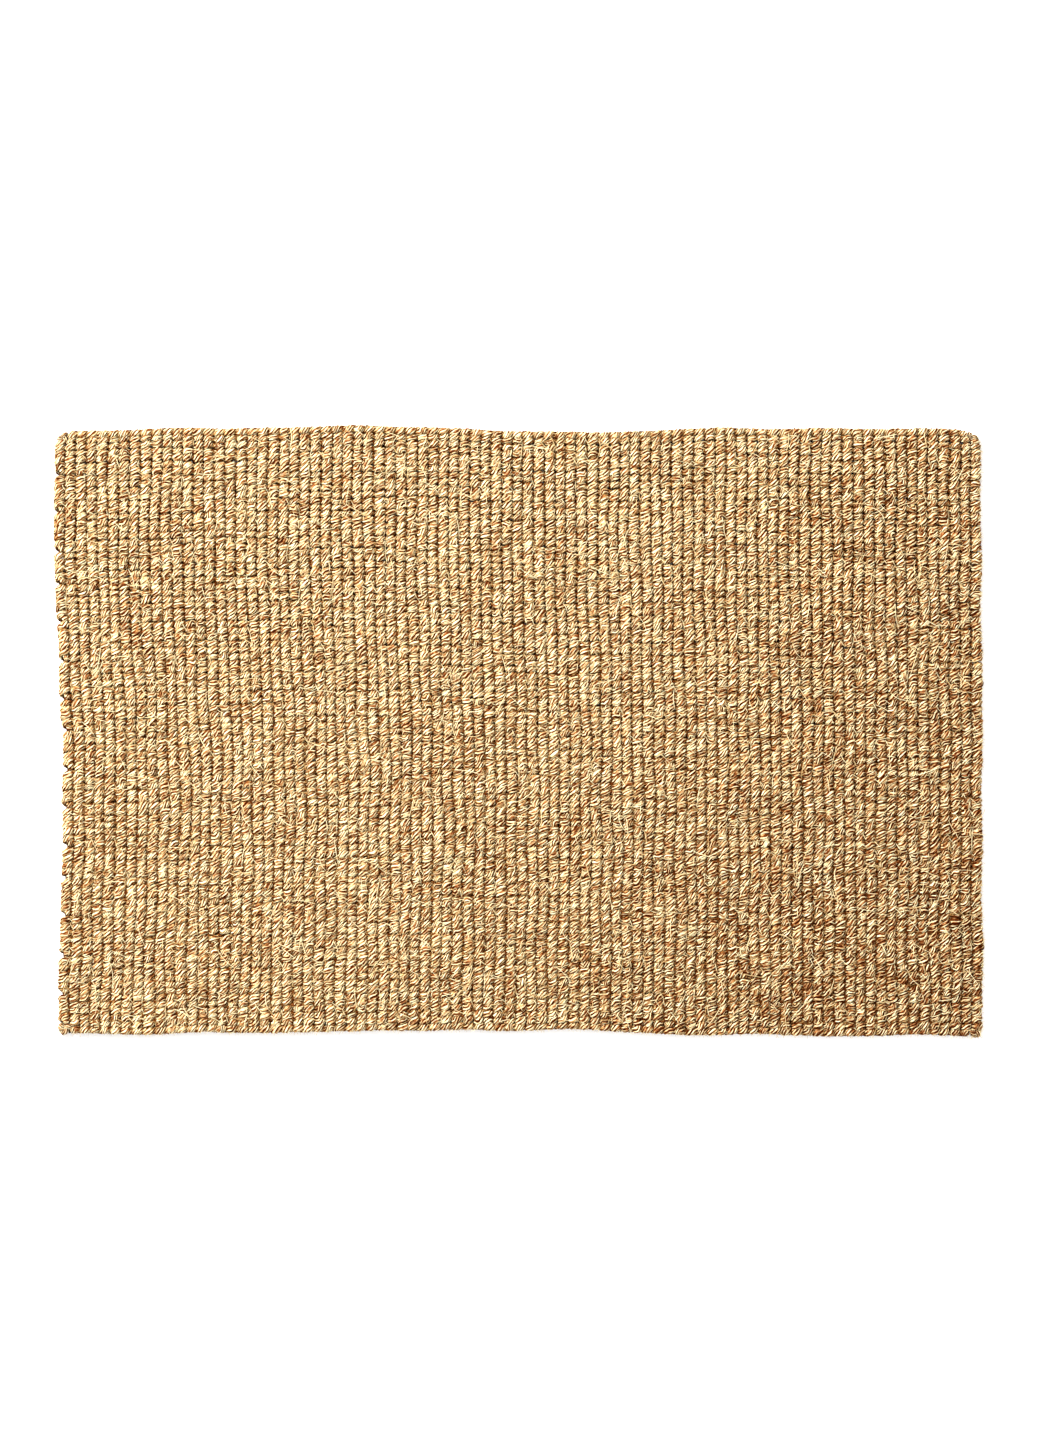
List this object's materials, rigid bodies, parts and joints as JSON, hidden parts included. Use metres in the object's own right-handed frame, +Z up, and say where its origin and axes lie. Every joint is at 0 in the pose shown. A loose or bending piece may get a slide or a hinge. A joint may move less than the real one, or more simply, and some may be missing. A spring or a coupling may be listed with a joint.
{
  "type": "door mat",
  "caption": "Flat rectangular door mat woven from twisted coir yarn in a reversible rib weave, with twined ends and tied corners.",
  "frame": {"origin": "middle of the underside, at floor level, with the mat lying flat", "axes": "+X along the long side, +Y along the short side from front to rear, +Z up out of the walking face"},
  "size_m": [0.9, 0.591, 0.012],
  "materials": {
    "coir_weft": "golden straw-coloured coir yarn, two-ply, hairy, matt with a faint fibre sheen",
    "coir_warp": "darker coir cord seen only in the gaps between the weft floats",
    "coir_end": "twined coir strands and tied corners, hairy and matt"
  },
  "bodies": {
    "root": {"binder_warps_01": "coir_warp", "binder_warps_02": "coir_warp", "binder_warps_03": "coir_warp", "binder_warps_04": "coir_warp", "binder_warps_05": "coir_warp", "binder_warps_06": "coir_warp", "binder_warps_07": "coir_warp", "binder_warps_08": "coir_warp", "binder_warps_09": "coir_warp", "binder_warps_10": "coir_warp", "binder_warps_11": "coir_warp", "front_end_lower_strand": "coir_end", "front_end_upper_strand": "coir_end", "front_left_corner_knot": "coir_end", "front_right_corner_knot": "coir_end", "left_selvedge_cord": "coir_warp", "rear_end_lower_strand": "coir_end", "rear_end_upper_strand": "coir_end", "rear_left_corner_knot": "coir_end", "rear_right_corner_knot": "coir_end", "rib_cords_01": "coir_warp", "rib_cords_02": "coir_warp", "rib_cords_03": "coir_warp", "rib_cords_04": "coir_warp", "rib_cords_05": "coir_warp", "rib_cords_06": "coir_warp", "rib_cords_07": "coir_warp", "rib_cords_08": "coir_warp", "rib_cords_09": "coir_warp", "rib_cords_10": "coir_warp", "rib_cords_11": "coir_warp", "right_selvedge_cord": "coir_warp", "weft_yarn_01": "coir_weft", "weft_yarn_02": "coir_weft", "weft_yarn_03": "coir_weft", "weft_yarn_04": "coir_weft", "weft_yarn_05": "coir_weft", "weft_yarn_06": "coir_weft", "weft_yarn_07": "coir_weft", "weft_yarn_08": "coir_weft", "weft_yarn_09": "coir_weft", "weft_yarn_10": "coir_weft", "weft_yarn_11": "coir_weft", "weft_yarn_12": "coir_weft", "weft_yarn_13": "coir_weft", "weft_yarn_14": "coir_weft", "weft_yarn_15": "coir_weft", "weft_yarn_16": "coir_weft"}
  },
  "joints": []
}
